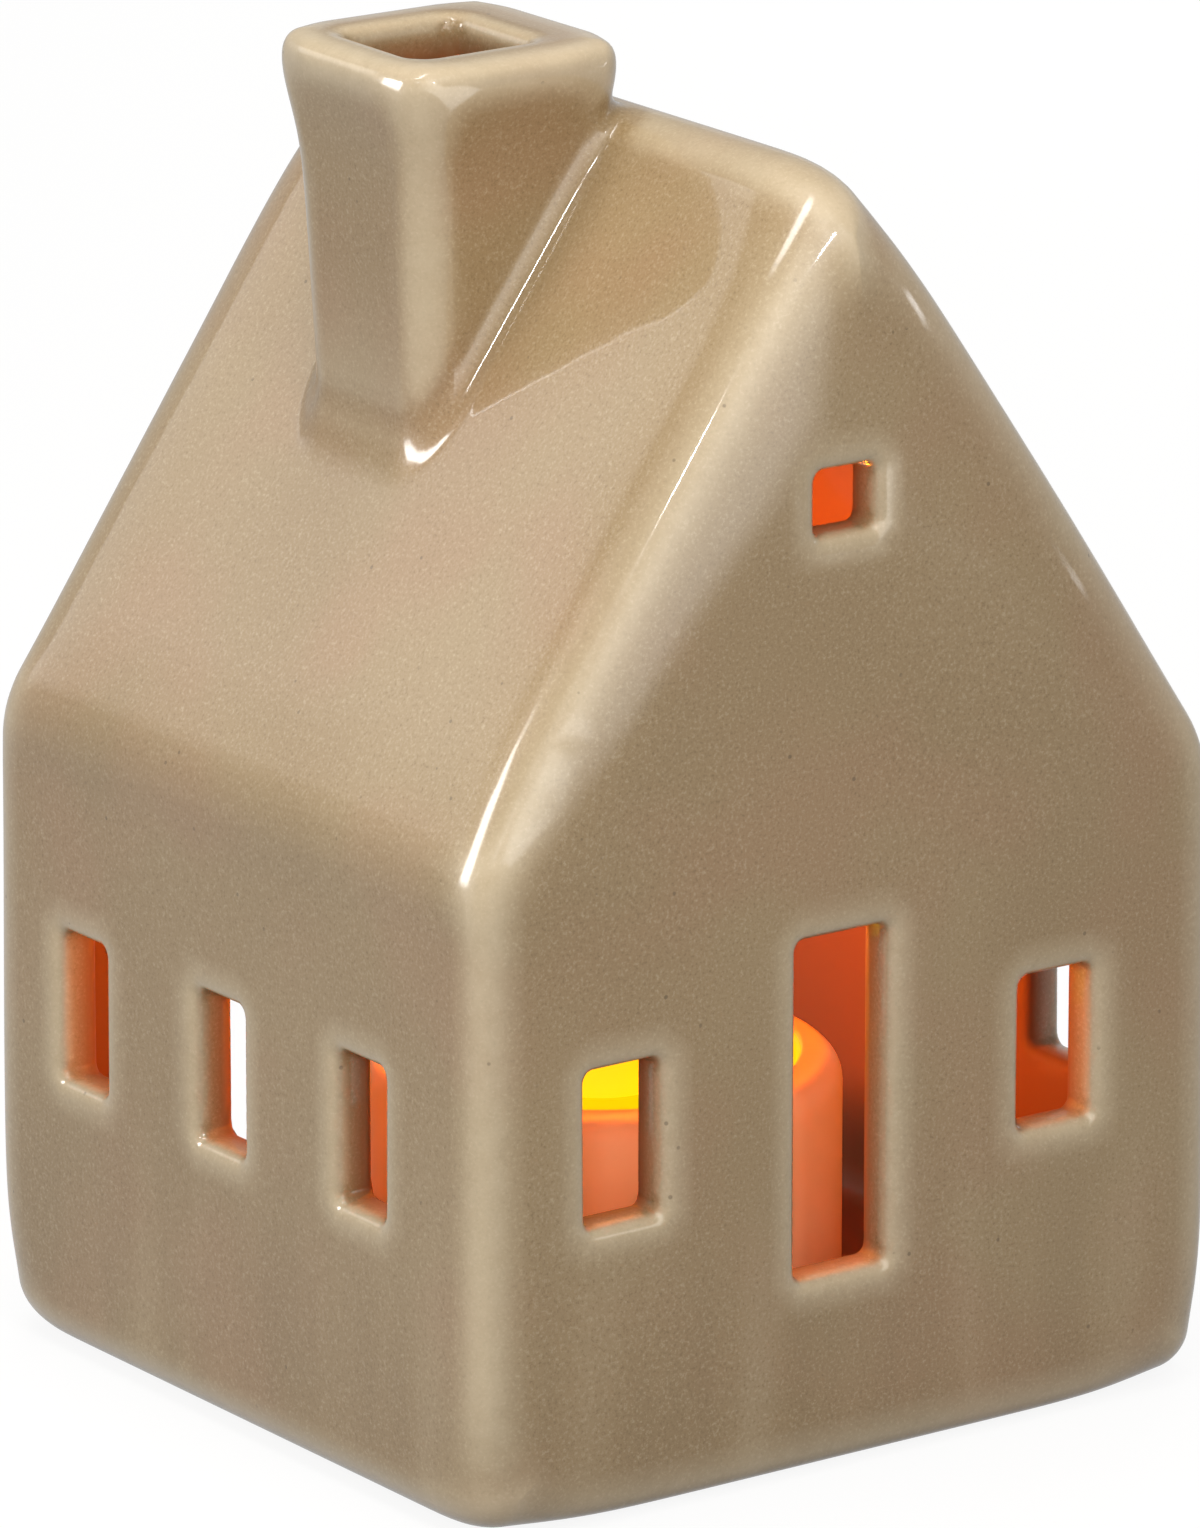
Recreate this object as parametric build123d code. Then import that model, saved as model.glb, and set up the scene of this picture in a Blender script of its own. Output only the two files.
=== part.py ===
"""Tealight house: a glazed stoneware house with a battery tealight standing on its floor.

Millimetres, +Z up. The origin is the middle of the base, and the front gable faces -Y.
"""
from build123d import *
import os
from math import atan2, cos

# House shell, outer form: heights are where the flat faces would cross
house_width = 70.0
house_depth = 67.4
eave_height = 51.7
ridge_height = 104.4
eave_radius = 10.2
edge_radius = 3.8

# House shell, hollow
wall = 3.8
floor_thickness = 4.4
cavity_radius = 3.0

# Chimney on the left slope, next to the ridge
chimney_x = -11.4
chimney_y = 3.8
chimney_foot_size = 15.9
chimney_neck_size = 18.1
chimney_rim_size = 23.0
chimney_rise = 2.8
chimney_rim_height = 7.1
chimney_neck_radius = 5.0
chimney_edge_radius = 2.8
chimney_root_radius = 2.0
flue_size = 10.6
flue_shift = -1.2
flue_corner_cut = 0.8
flue_lip_radius = 0.9

# Openings: clear sizes between the jambs
opening_corner_cut = 0.7
lip_radius = 1.1
front_shift = -1.2
front_window_width = 6.8
front_window_height = 12.2
front_window_sill = 23.8
front_window_inset = 14.5
door_width = 8.5
door_height = 26.9
door_sill = 15.8
attic_width = 5.5
attic_height = 4.9
attic_drop = 30.1
side_window_width = 6.1
side_window_height = 12.0
side_window_sill = 22.7
side_window_front_inset = 16.5
side_window_rear_inset = 13.0
side_window_count = 3
rear_side_clearance = 2.3
rear_head_clearance = 7.0
rear_corner_radius = 6.0
rear_lip_cut = 0.9

# Tealight body
tealight_radius = 19.0
tealight_height = 20.6
shoulder_cut = 1.2
body_wall = 1.6
rim_wall = 1.5
cap_ledge = 0.8
dish_radius = 15.4
dish_depth = 2.6

# Flame tip: radius and height shares of its outline, from the base up
flame_radius = 4.6
flame_height = 15.0
flame_clearance = 0.25
flame_flange_width = 1.5
flame_flange_thickness = 1.2
flame_outline_shares = ((1.0, 0.0), (1.0, 0.3), (0.55, 0.7), (0.0, 1.0))

# Light-emitting diode
led_radius = 2.5
led_rim_width = 0.4
led_rim_thickness = 1.0
led_lens_length = 7.6
led_lens_cut = 1.3
led_clearance = 0.1
lead_size = 0.5
lead_pitch = 2.54
lead_tail = 0.9
lead_clearance = 0.15

# Circuit board and chip
board_radius = 15.2
board_thickness = 1.0
board_height = 9.4
chip_length = 4.9
chip_width = 3.9
chip_thickness = 1.4
chip_lift = 0.15
chip_x = 6.6
chip_y = -5.6
chip_leg_count = 4
chip_leg_pitch = 1.0
chip_leg_width = 0.4
chip_leg_reach = 0.9
chip_leg_thickness = 0.5

# Board screws
screw_radius = 0.75
screw_head_radius = 1.8
screw_head_thickness = 1.1
screw_length = 5.6
screw_slot_width = 0.5
screw_slot_depth = 0.5
screw_clearance = 0.15
post_radius = 2.1
post_x = 12.0
post_y = 7.2

# Base cap
cap_recess = 0.8
cap_thickness = 1.8
cap_clearance = 0.05
stop_wall = 1.2
stop_width = 3.0
stop_start_angle = 80.0
rib_rise = 0.3
rib_height = 3.2

# Coin cell, its axis set off towards the front
cell_offset = 3.2
cell_radius = 10.0
cell_thickness = 3.2
cell_step = 0.5
cell_step_width = 1.1
cell_clearance = 0.25
cell_gap = 0.1

# Battery lid
lid_radius = 11.0
lid_clearance = 0.2
lid_ring_width = 1.6
lug_count = 3
lug_angle = 26.0
lug_reach = 1.1
lug_thickness = 0.8
lug_gap = 0.1
lug_clearance = 0.3
lid_turn_angle = 40.0
notch_margin_angle = 4.0
coin_slot_length = 14.0
coin_slot_width = 1.8
coin_slot_depth = 0.9

# Contacts
strip_thickness = 0.4
strip_width = 4.0
pad_length = 2.0
clip_gap = 0.05
clip_lift = 0.6
leaf_pad_length = 3.5
leaf_start = -9.0
leaf_flat_half = 1.5
leaf_tail_length = 1.6
leaf_tail_rise = 0.6

# Slide switch and its slider
switch_y = 12.8
switch_length = 8.6
switch_width = 3.6
switch_depth = 3.6
switch_travel = 3.0
lever_size = 1.5
lever_reach = 1.6
lever_root = 0.7
lever_clearance = 0.3
stem_length = 3.0
stem_width = 1.8
stem_clearance = 0.2
knob_length = 4.6
knob_width = 3.0
knob_floor_gap = 0.3
knob_ridge_count = 3
knob_ridge_depth = 0.35
trough_margin = 0.4
trough_depth = 0.9
slider_gap = 0.1
flange_length = 5.2
flange_width = 3.4
flange_thickness = 0.8
fork_clearance = 0.15
fork_thickness = 0.9
fork_width = 2.4
fork_height = 1.9

# Every cut runs past its face by this much
overrun = 1.0
# Faces this close to a plane count as lying on it
on_plane = 0.01

# Worked out from the sizes above
half_width = house_width / 2
half_depth = house_depth / 2
roof_slope = (ridge_height - eave_height) / half_width
roof_drop = wall / cos(atan2(ridge_height - eave_height, half_width))
chimney_top = ridge_height + chimney_rise
chimney_neck = chimney_top - chimney_rim_height
cap_seat = cap_recess + cap_thickness
cap_radius = tealight_radius - rim_wall - cap_clearance
body_bore = tealight_radius - rim_wall - cap_ledge
flame_hole = flame_radius + flame_clearance
flame_seat = tealight_height - dish_depth - body_wall
flame_top = flame_seat + flame_height
led_seat = flame_seat - flame_flange_thickness
board_top = board_height + board_thickness
lug_bottom = cap_seat + lug_gap
lid_top = lug_bottom + lug_thickness
lug_radius = lid_radius + lug_reach
pocket_radius = lug_radius + lug_clearance
cell_bottom = lid_top + cell_gap
cell_top = cell_bottom + cell_thickness
switch_rest_x = switch_travel / 2
switch_bottom = board_height - switch_depth
slider_flange_bottom = cap_seat + slider_gap
slider_flange_top = slider_flange_bottom + flange_thickness
rear_head = floor_thickness + flame_top + rear_head_clearance
standing = (Align.CENTER, Align.CENTER, Align.MIN)


def disc(radius, bottom, top):
    """Upright cylinder on the Z axis between two heights."""
    return Pos(0, 0, bottom) * Cylinder(radius, top - bottom, align=standing)


def block(length, width, bottom, top):
    """Upright block centred on the Z axis between two heights."""
    return Pos(0, 0, bottom) * Box(length, width, top - bottom, align=standing)


def ring_sector(inner, outer, bottom, top, middle_angle, angle):
    """Part of a ring about the Z axis, centred on middle_angle degrees."""
    section = Pos((inner + outer) / 2, (bottom + top) / 2) * Rectangle(outer - inner, top - bottom)
    sector = revolve(Plane.XZ * section, Axis.Z, revolution_arc=angle)
    return Rot(0, 0, middle_angle - angle / 2) * sector


def house_prism(half_span, bottom, eave, ridge, radii, depth):
    """House-shaped prism along Y with rounded long edges."""
    corners = ((-half_span, bottom), (half_span, bottom), (half_span, eave), (0, ridge), (-half_span, eave))
    outline = FilletPolyline(*corners, radius=radii, close=True)
    return extrude(Plane.XZ * make_face(outline), amount=depth / 2, both=True)


def frustum(lower, upper, bottom, top):
    """Square frustum on the Z axis between two heights."""
    inset = (lower - upper) / 2
    form = Wedge(
        lower, top - bottom, lower, inset, inset, lower - inset, lower - inset,
        align=(Align.CENTER, Align.MIN, Align.CENTER),
    )
    return Pos(0, 0, bottom) * Plane.XZ.location * form


def chimney_shaft():
    """Shaft that widens upwards and flares into its rim, with rounded edges."""
    foot = ridge_height + roof_slope * (chimney_x - chimney_foot_size / 2) - roof_drop
    shaft = frustum(chimney_foot_size, chimney_neck_size, foot, chimney_neck)
    shaft += frustum(chimney_neck_size, chimney_rim_size, chimney_neck, chimney_top)
    crease = shaft.edges().filter_by_position(Axis.Z, chimney_neck - on_plane, chimney_neck + on_plane)
    shaft = fillet(crease, chimney_neck_radius)
    level = shaft.edges().filter_by(Plane.XY)
    corners = [edge for edge in shaft.edges() if edge not in level]
    shaft = fillet(corners + shaft.faces().sort_by(Axis.Z)[-1].edges(), chimney_edge_radius)
    return Pos(chimney_x, chimney_y) * shaft


def flue():
    """Square hole down through the chimney into the hollow house, set off towards the eave."""
    outline = chamfer(Rectangle(flue_size, flue_size).vertices(), flue_corner_cut)
    outline = Pos(chimney_x + flue_shift, chimney_y, eave_height) * outline
    return extrude(outline, amount=chimney_top - eave_height + overrun)


def wall_cut(face_plane, width, height):
    """Rectangle with cut corners through one wall, centred on a plane in the wall's face."""
    outline = chamfer(Rectangle(width, height).vertices(), opening_corner_cut)
    return extrude(face_plane * outline, amount=wall + overrun, both=True)


def front_cuts():
    """Door, two windows and attic window of the front gable."""
    window_x = half_width - front_window_inset
    attic_sill = ridge_height - attic_drop
    places = (
        (-window_x, front_window_sill, front_window_width, front_window_height),
        (window_x, front_window_sill, front_window_width, front_window_height),
        (0, door_sill, door_width, door_height),
        (0, attic_sill, attic_width, attic_height),
    )
    for x, sill, width, height in places:
        yield wall_cut(Plane.XZ.offset(half_depth) * Pos(x + front_shift, sill + height / 2), width, height)


def side_cuts():
    """Rows of windows in the two long walls, evenly spaced between the first and the last."""
    first = -half_depth + side_window_front_inset
    last = half_depth - side_window_rear_inset
    for side in (-1, 1):
        for index in range(side_window_count):
            y = first + (last - first) * index / (side_window_count - 1)
            middle = Plane.YZ.offset(side * half_width) * Pos(y, side_window_sill + side_window_height / 2)
            yield wall_cut(middle, side_window_width, side_window_height)


def rear_cut():
    """Low wide opening of the rear gable, level with the floor, that the tealight passes through."""
    width = 2 * (tealight_radius + rear_side_clearance)
    outline = Rectangle(width, rear_head - floor_thickness, align=(Align.CENTER, Align.MIN))
    outline = fillet(outline.vertices().group_by(Axis.Y)[-1], rear_corner_radius)
    inner_end = half_depth - wall - overrun
    start = Plane.XZ.offset(-inner_end) * Pos(0, floor_thickness)
    return extrude(start * outline, amount=-(half_depth - inner_end + overrun))


def lip_edges(shell, axis, place):
    """Edges of the openings in the flat wall face at one place along an axis, without the floor's edge."""
    edges = []
    for face in shell.faces().filter_by(axis):
        if abs(face.center().dot(axis.direction) - place) < on_plane:
            for wire in face.inner_wires():
                rims = [edge for edge in wire.edges() if abs(edge.center().Z - floor_thickness) > on_plane]
                edges += rims
    return edges


def house_shell():
    """Slip-cast shell: floor, walls, gable roof and chimney in one piece, with soft lips at the openings."""
    outer = house_prism(
        half_width, 0, eave_height, ridge_height,
        (edge_radius, edge_radius, eave_radius, edge_radius, eave_radius), house_depth,
    )
    outer = fillet(outer.faces().filter_by(Axis.Y).edges(), edge_radius)
    shaft = chimney_shaft()
    joined = outer + shaft
    joined = fillet(new_edges(outer, shaft, combined=joined), chimney_root_radius)
    inner_span = half_width - wall
    inner_ridge = ridge_height - roof_drop
    inner_eave_radius = max(eave_radius - wall, cavity_radius)
    hollow = house_prism(
        inner_span, floor_thickness, inner_ridge - roof_slope * inner_span, inner_ridge,
        (cavity_radius, cavity_radius, inner_eave_radius, cavity_radius, inner_eave_radius),
        house_depth - 2 * wall,
    )
    shell = joined - hollow - flue()
    rim = shell.faces().filter_by(Axis.Z).sort_by(Axis.Z)[-1]
    shell = fillet(rim.inner_wires()[0].edges(), flue_lip_radius)
    for cut in (*front_cuts(), *side_cuts(), rear_cut()):
        shell -= cut
    for axis, place in ((Axis.X, -half_width), (Axis.X, half_width), (Axis.Y, -half_depth)):
        shell = fillet(lip_edges(shell, axis, place), lip_radius)
    return chamfer(lip_edges(shell, Axis.Y, half_depth), rear_lip_cut)


def candle_body():
    """Body with a cut shoulder, a dished top, a hole for the flame and a stepped bore for the base cap."""
    body = disc(tealight_radius, 0, tealight_height)
    body = chamfer(body.edges().group_by(Axis.Z)[-1], shoulder_cut)
    body -= disc(dish_radius, tealight_height - dish_depth, tealight_height + overrun)
    body -= disc(body_bore, cap_seat, flame_seat)
    body -= disc(tealight_radius - rim_wall, -overrun, cap_seat)
    return body - disc(flame_hole, cap_seat, tealight_height + overrun)


def flame_tip():
    """Flame with a flange that seats under the dish and a bore that takes the diode."""
    points = [
        (flame_radius * across, flame_seat + flame_height * up) for across, up in flame_outline_shares
    ]
    outline = Polyline((0, flame_seat), *points, close=True)
    tip = revolve(Plane.XZ * make_face(outline), Axis.Z)
    tip += disc(flame_hole + flame_flange_width, led_seat, flame_seat)
    bore_top = led_seat + led_lens_length + led_clearance
    return tip - disc(led_radius + led_clearance, led_seat - overrun, bore_top)


def led():
    """Round lens with a cut nose and a rim at its foot."""
    foot = led_seat - led_rim_thickness
    lens = disc(led_radius, foot, led_seat + led_lens_length)
    lens = chamfer(lens.edges().group_by(Axis.Z)[-1], led_lens_cut)
    return lens + disc(led_radius + led_rim_width, foot, led_seat)


def lead_places():
    """Places of the two diode leads."""
    return [Pos(side * lead_pitch / 2, 0) for side in (-1, 1)]


def led_leads():
    """Two square wire legs from the diode through the board."""
    top = led_seat - led_rim_thickness
    return [place * block(lead_size, lead_size, board_height - lead_tail, top) for place in lead_places()]


def post_places():
    """Places of the two screw posts."""
    return [Pos(side * post_x, post_y) for side in (-1, 1)]


def circuit_board():
    """Round board with holes for the screws and the diode's legs."""
    board = disc(board_radius, board_height, board_top)
    below, above = board_height - overrun, board_top + overrun
    lead_hole = lead_size + 2 * lead_clearance
    for place in post_places():
        board -= place * disc(screw_radius + screw_clearance, below, above)
    for place in lead_places():
        board -= place * block(lead_hole, lead_hole, below, above)
    return board


def control_chip():
    """Moulded chip with a row of legs along each long side."""
    bottom = board_top + chip_lift
    chip = block(chip_length, chip_width, bottom, bottom + chip_thickness)
    leg = block(chip_leg_width, 2 * chip_leg_reach, board_top, board_top + chip_leg_thickness)
    for side in (-1, 1):
        for index in range(chip_leg_count):
            x = (index - (chip_leg_count - 1) / 2) * chip_leg_pitch
            chip += Pos(x, side * chip_width / 2) * leg
    return Pos(chip_x, chip_y) * chip


def board_screws():
    """Two slotted cheese-head screws through the board into the posts."""
    head_top = board_top + screw_head_thickness
    screw = disc(screw_head_radius, board_top, head_top)
    screw -= block(2 * screw_head_radius, screw_slot_width, head_top - screw_slot_depth, head_top + overrun)
    screw += disc(screw_radius, board_top - screw_length, board_top)
    return [place * screw for place in post_places()]


def lug_angles():
    """Middle angles of the bayonet lugs in the locked position."""
    return [index * 360 / lug_count for index in range(lug_count)]


def cell_stop():
    """Post beside the lugs' track with an inward rib over it that keeps the cell in the middle."""
    post = block(stop_wall, stop_width, cap_seat, board_height)
    post = Pos(pocket_radius + stop_wall / 2, 0) * post
    inner = cell_radius + cell_clearance
    rib_bottom = lid_top + rib_rise
    rib = block(pocket_radius + stop_wall - inner, stop_width, rib_bottom, rib_bottom + rib_height)
    return post + Pos((inner + pocket_radius + stop_wall) / 2, 0) * rib


def base_cap():
    """Moulded base with the cell stops, screw posts, lid opening and switch trough."""
    plate = disc(cap_radius, cap_recess, cap_seat)
    opening = disc(lid_radius + lid_clearance, 0, cap_seat + overrun)
    stops = Part()
    for angle in lug_angles():
        opening += ring_sector(
            lid_radius, lug_radius + lid_clearance, 0, cap_seat + overrun,
            angle + lid_turn_angle, lug_angle + notch_margin_angle,
        )
        stops += Rot(0, 0, angle + stop_start_angle) * cell_stop()
    cap = plate + Pos(0, -cell_offset) * stops - Pos(0, -cell_offset) * opening
    pilot_bottom = board_top - screw_length - overrun
    for place in post_places():
        cap += place * disc(post_radius, cap_seat, board_height)
        cap -= place * disc(screw_radius + screw_clearance, pilot_bottom, board_height + overrun)
    trough = block(
        knob_length + switch_travel + 2 * trough_margin, knob_width + 2 * trough_margin,
        0, cap_recess + trough_depth,
    )
    slot = block(
        stem_length + switch_travel + 2 * stem_clearance, stem_width + 2 * stem_clearance,
        0, cap_seat + overrun,
    )
    return cap - Pos(0, switch_y) * (trough + slot)


def coin_cell():
    """Coin cell: a can with a smaller raised pole on top."""
    can = disc(cell_radius, cell_bottom, cell_top - cell_step)
    pole = disc(cell_radius - cell_step_width, cell_top - cell_step, cell_top)
    return Pos(0, -cell_offset) * (can + pole)


def battery_lid():
    """Round lid flush in the base, with bayonet lugs above the base plate and a coin slot below."""
    lid = disc(lid_radius, cap_recess, cap_seat)
    lid += disc(lid_radius, cap_seat, lid_top) - disc(lid_radius - lid_ring_width, cap_seat, lid_top)
    for angle in lug_angles():
        lug_root = lid_radius - lid_ring_width / 2
        lid += ring_sector(lug_root, lug_radius, lug_bottom, lid_top, angle, lug_angle)
    lid -= block(coin_slot_length, coin_slot_width, 0, cap_recess + coin_slot_depth)
    return Pos(0, -cell_offset) * lid


def positive_contact():
    """Clip from the board down beside the cell's rim."""
    inner = cell_radius + clip_gap
    leg = block(strip_thickness, strip_width, cell_bottom + clip_lift, board_height)
    leg = Pos(inner + strip_thickness / 2, 0) * leg
    pad = block(pad_length, strip_width, board_height - strip_thickness, board_height)
    pad = Pos(inner + pad_length / 2, 0) * pad
    return Pos(0, -cell_offset) * (leg + pad)


def negative_contact():
    """Leaf spring from the board down to the middle of the cell's pole, with a turned-up tail."""
    upper = board_height - strip_thickness
    lower_edge = (
        (leaf_start, upper),
        (leaf_start + leaf_pad_length, upper),
        (-leaf_flat_half, cell_top),
        (leaf_flat_half, cell_top),
        (leaf_flat_half + leaf_tail_length, cell_top + leaf_tail_rise),
    )
    upper_edge = [(x, z + strip_thickness) for x, z in reversed(lower_edge)]
    section = make_face(Polyline(*lower_edge, *upper_edge, close=True))
    leaf = extrude(Plane.XZ * section, amount=strip_width / 2, both=True)
    return Pos(0, -cell_offset) * leaf


def switch_body():
    """Slide switch under the board, with a slot for its lever."""
    body = block(switch_length, switch_width, switch_bottom, board_height)
    slot_length = switch_travel + lever_size + 2 * lever_clearance
    slot_top = switch_bottom + lever_root + lever_clearance
    body -= block(slot_length, lever_size + 2 * lever_clearance, switch_bottom - overrun, slot_top)
    return Pos(0, switch_y) * body


def switch_lever():
    """Lever of the slide switch, in the on position."""
    lever = block(lever_size, lever_size, switch_bottom - lever_reach, switch_bottom + lever_root)
    return Pos(switch_rest_x, switch_y) * lever


def switch_slider():
    """Ridged slider through the base whose fork takes the lever between its prongs, in the on position."""
    knob_top = cap_recess + trough_depth - slider_gap
    knob = block(knob_length, knob_width, knob_floor_gap, knob_top)
    ridge_pitch = knob_length / (2 * knob_ridge_count + 1)
    for index in range(knob_ridge_count):
        x = (index - (knob_ridge_count - 1) / 2) * 2 * ridge_pitch
        knob -= Pos(x, 0) * block(ridge_pitch, knob_width, 0, knob_floor_gap + knob_ridge_depth)
    slider = knob + block(stem_length, stem_width, knob_top, slider_flange_bottom)
    slider += block(flange_length, flange_width, slider_flange_bottom, slider_flange_top)
    prong_x = lever_size / 2 + fork_clearance + fork_thickness / 2
    for side in (-1, 1):
        slider += Pos(side * prong_x, 0) * block(
            fork_thickness, fork_width, slider_flange_top, slider_flange_top + fork_height
        )
    return Pos(switch_rest_x, switch_y) * slider


def save(name, shape, lift=0):
    """Write one node, a solid or a group of solids, lifted to its place."""
    solids = [Pos(0, 0, lift) * solid for solid in (shape if isinstance(shape, list) else [shape])]
    export_step(Compound(children=solids) if len(solids) > 1 else solids[0], f"parts/{name}.step")


os.makedirs("parts", exist_ok=True)
save("house_shell", house_shell())
for make in (
    candle_body, flame_tip, led, led_leads, circuit_board, control_chip, board_screws, base_cap,
    coin_cell, battery_lid, positive_contact, negative_contact, switch_body, switch_lever, switch_slider,
):
    save(make.__name__, make(), floor_thickness)
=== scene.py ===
"""Looks of a glazed stoneware tealight house with a battery tealight inside.

The house is one computed surface: a signed distance in millimetres, drawn out by a surface net and settled on the
distance's zero level.  The tealight's outer pieces are turned profiles.  Every other node keeps its solid and gets a
procedural material.
"""

import logging
from dataclasses import dataclass, field
from enum import Enum
from functools import partial
from itertools import product
from math import cos, radians, sin, tau
from typing import Callable, Sequence

import bpy
import numpy as np
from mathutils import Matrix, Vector


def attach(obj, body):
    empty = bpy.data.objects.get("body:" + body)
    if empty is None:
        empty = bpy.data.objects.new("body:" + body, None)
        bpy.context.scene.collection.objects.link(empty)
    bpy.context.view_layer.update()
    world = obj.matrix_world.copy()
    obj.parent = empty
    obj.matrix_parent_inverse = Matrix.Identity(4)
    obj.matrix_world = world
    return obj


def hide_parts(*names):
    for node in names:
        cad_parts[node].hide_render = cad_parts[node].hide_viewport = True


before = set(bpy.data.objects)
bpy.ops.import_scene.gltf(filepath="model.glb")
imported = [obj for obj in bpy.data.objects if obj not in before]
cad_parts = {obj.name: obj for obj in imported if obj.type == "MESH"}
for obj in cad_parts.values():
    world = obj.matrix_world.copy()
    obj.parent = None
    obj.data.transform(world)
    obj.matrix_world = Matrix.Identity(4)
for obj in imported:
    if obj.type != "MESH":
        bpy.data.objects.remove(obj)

logging.basicConfig(level=logging.INFO, format="%(name)s: %(message)s")
log = logging.getLogger("tealight_house")

Array = np.ndarray
MILLIMETRE = 0.001
PROBE = 0.04  # half distance in millimetres between the two samples of a slope


class Face(Enum):
    """Wall of the house that an opening is cut through."""

    FRONT = "front"
    REAR = "rear"
    LEFT = "left"
    RIGHT = "right"


class Slot(Enum):
    """Material slots of the house piece."""

    GLAZE = 0
    CLAY = 1


# ---------------------------------------------------------------- signed distances


def rounded_meet(first: Array, second: Array, radius: Array | float) -> Array:
    """Intersection of two distances whose common edge is rolled to a radius.

    Args:
        first: Distance to the first form, negative inside.
        second: Distance to the second form.
        radius: Radius of the rolled edge.

    Returns:
        Distance to the common part.
    """
    a, b = first + radius, second + radius
    outside = np.hypot(np.maximum(a, 0.0), np.maximum(b, 0.0))
    return np.minimum(np.maximum(a, b), 0.0) + outside - radius


def worn_meet(first: Array, second: Array, reach: Array | float) -> Array:
    """Intersection of two distances whose common edge is worn over a reach, with no crease where the wear begins.

    The larger distance is raised by a sixth of the reach at the edge, falling off with the cube of the share that is
    left of the reach.

    Args:
        first: Distance to the first form, negative inside.
        second: Distance to the second form.
        reach: Difference of the distances at which the wear begins.

    Returns:
        Distance to the common part.
    """
    share = np.maximum(1.0 - np.abs(first - second) / reach, 0.0)
    return np.maximum(first, second) + reach * share**3 / 6.0


def rounded_join(first: Array, second: Array, radius: float) -> Array:
    """Union of two distances whose common crease is filled to a radius.

    Args:
        first: Distance to the first form, negative inside.
        second: Distance to the second form.
        radius: Radius of the filled crease.

    Returns:
        Distance to the joined form.
    """
    return -rounded_meet(-first, -second, radius)


def rounded_rectangle(u: Array, v: Array, half_u: Array | float, half_v: Array | float, radius: float) -> Array:
    """Plane distance to a rectangle with round corners, centred on the origin.

    Args:
        u: First coordinate.
        v: Second coordinate.
        half_u: Half of the first side.
        half_v: Half of the second side.
        radius: Corner radius.

    Returns:
        Distance, negative inside.
    """
    return rounded_meet(np.abs(u) - half_u, np.abs(v) - half_v, radius)


def rounded_outline(u: Array, v: Array, corners: Sequence[tuple[float, float]], radii: Sequence[float]) -> Array:
    """Plane distance to a convex outline with one radius per corner.

    The distance is the largest of the side distances; in the sector between the normals of two sides that meet in a
    corner it is the distance to that corner's arc.

    Args:
        u: First coordinate.
        v: Second coordinate.
        corners: Corner points, counter-clockwise.
        radii: Radius of each corner.

    Returns:
        Distance, negative inside.
    """
    points = np.array(corners, dtype=float)
    along = np.roll(points, -1, axis=0) - points
    along /= np.linalg.norm(along, axis=1, keepdims=True)
    normals = np.stack([along[:, 1], -along[:, 0]], axis=1)
    offsets = np.sum(normals * points, axis=1)
    result = np.max([n[0] * u + n[1] * v - o for n, o in zip(normals, offsets)], axis=0)
    for index, radius in enumerate(radii):
        before, after = normals[index - 1], normals[index]
        sides = np.array([before, after])
        centre = np.linalg.solve(sides, np.array([offsets[index - 1], offsets[index]]) - radius)
        shares = np.linalg.inv(sides.T)
        du, dv = u - centre[0], v - centre[1]
        sector = (shares[0, 0] * du + shares[0, 1] * dv > 0) & (shares[1, 0] * du + shares[1, 1] * dv > 0)
        result = np.where(sector, np.hypot(du, dv) - radius, result)
    return result


def soft_step(low: float, high: float, value: Array) -> Array:
    """Smooth rise from 0 at low to 1 at high.

    Args:
        low: Value where the rise starts.
        high: Value where it ends.
        value: Points to evaluate.

    Returns:
        Share between 0 and 1.
    """
    share = np.clip((value - low) / (high - low), 0.0, 1.0)
    return share * share * (3.0 - 2.0 * share)


def unit_slope(distance: Callable[[Array], Array], points: Array) -> Array:
    """Unit gradient of a distance by central differences.

    Args:
        distance: The distance.
        points: Points to probe.

    Returns:
        Unit vectors, outward.
    """
    shifts = np.eye(3) * PROBE
    slope = np.stack([distance(points + shift) - distance(points - shift) for shift in shifts], axis=1)
    return slope / np.maximum(np.linalg.norm(slope, axis=1, keepdims=True), 1e-9)


def grid_faces(rows: int, columns: int) -> Array:
    """Quads of a grid of points that is numbered row by row.

    Args:
        rows: Points along the first side.
        columns: Points along the second side.

    Returns:
        Rows of four point numbers.
    """
    row, col = np.meshgrid(np.arange(rows - 1), np.arange(columns - 1), indexing="ij")
    first = row * columns + col
    return np.stack([first, first + columns, first + columns + 1, first + 1], axis=-1).reshape(-1, 4)


# ---------------------------------------------------------------- surfaces


@dataclass
class Surface:
    """Triangle or quad mesh in millimetres with normals and named vertex values."""

    points: Array
    faces: Array
    normals: Array | None = None
    values: dict[str, Array] = field(default_factory=dict)

    def make(self, name: str) -> bpy.types.Object:
        """Turn the surface into a Blender object at the origin.

        Args:
            name: Object name.

        Returns:
            The new object, linked to the scene.
        """
        mesh = bpy.data.meshes.new(name)
        mesh.from_pydata((self.points * MILLIMETRE).tolist(), [], self.faces.tolist())
        mesh.polygons.foreach_set("use_smooth", np.ones(len(mesh.polygons), dtype=bool))
        for label, data in self.values.items():
            layer = mesh.attributes.new(label, "FLOAT", "POINT")
            layer.data.foreach_set("value", data.astype(np.float32))
        mesh.update()
        if self.normals is not None:
            mesh.normals_split_custom_set_from_vertices(self.normals.tolist())
        piece = bpy.data.objects.new(name, mesh)
        bpy.context.scene.collection.objects.link(piece)
        log.info("%s: %d points, %d faces", name, len(self.points), len(self.faces))
        return piece


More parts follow.
